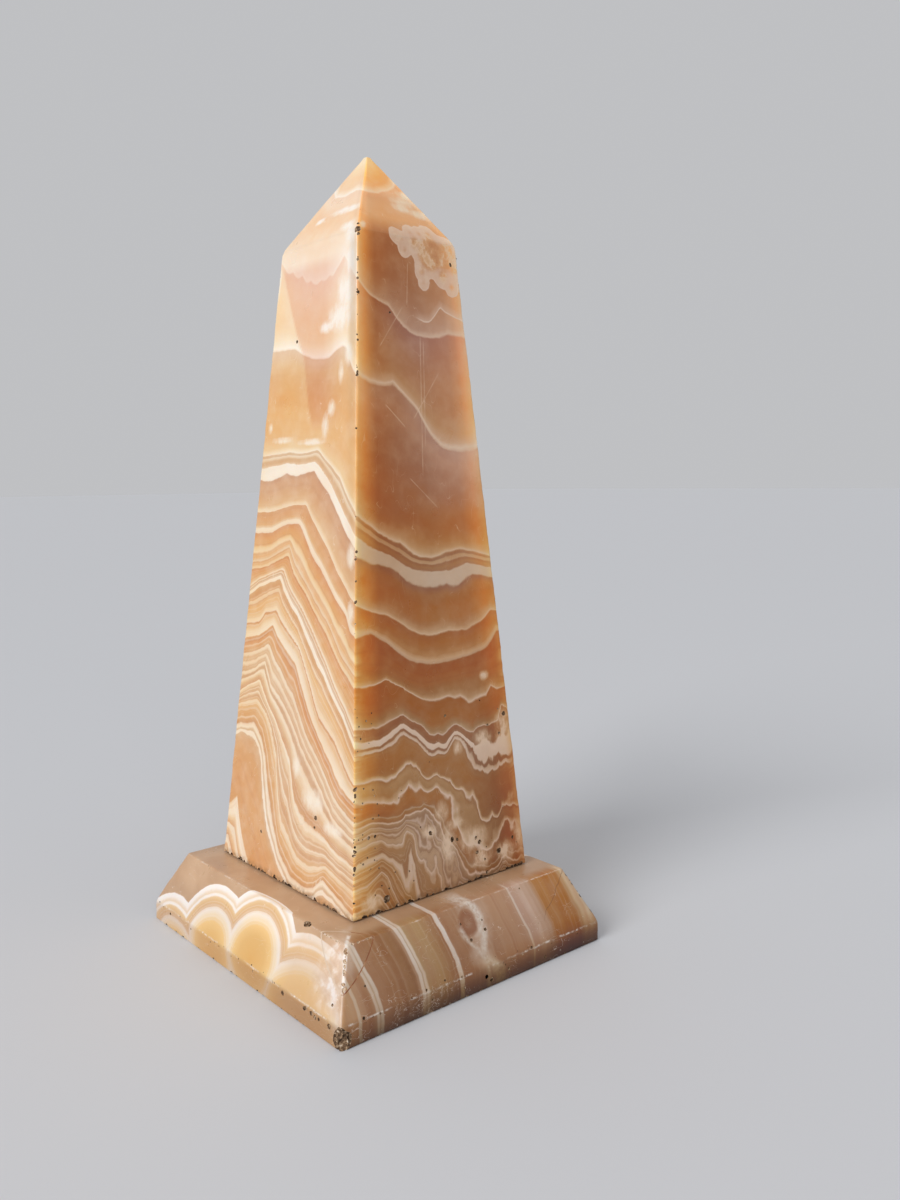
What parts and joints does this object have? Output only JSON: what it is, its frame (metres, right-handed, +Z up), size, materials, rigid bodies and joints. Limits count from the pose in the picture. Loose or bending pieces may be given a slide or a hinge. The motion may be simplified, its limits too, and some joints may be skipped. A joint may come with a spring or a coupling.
{
  "type": "decorative onyx obelisk",
  "caption": "Tapering square obelisk of polished banded onyx with a pointed cap, standing on a bevelled square plinth with one mended corner.",
  "frame": {"origin": "middle of the plinth's underside", "axes": "+Z up along the obelisk's height; +X and +Y square to the plinth's sides, so that the mended corner is the one towards -X and -Y"},
  "size_m": [0.248, 0.248, 0.5812],
  "materials": {
    "shaft_onyx": "satin polish, honey and amber with white bands",
    "plinth_onyx": "satin polish, tan and honey with white-edged lobes",
    "fragment_onyx": "satin polish, pale and slightly proud of the plinth",
    "glue": "aged brown adhesive",
    "mastic": "dark matte bedding mastic"
  },
  "bodies": {
    "root": {"shaft": "shaft_onyx", "plinth": "plinth_onyx", "corner_fragment": "fragment_onyx", "mend_glue": "glue", "bedding": "mastic"}
  },
  "joints": []
}
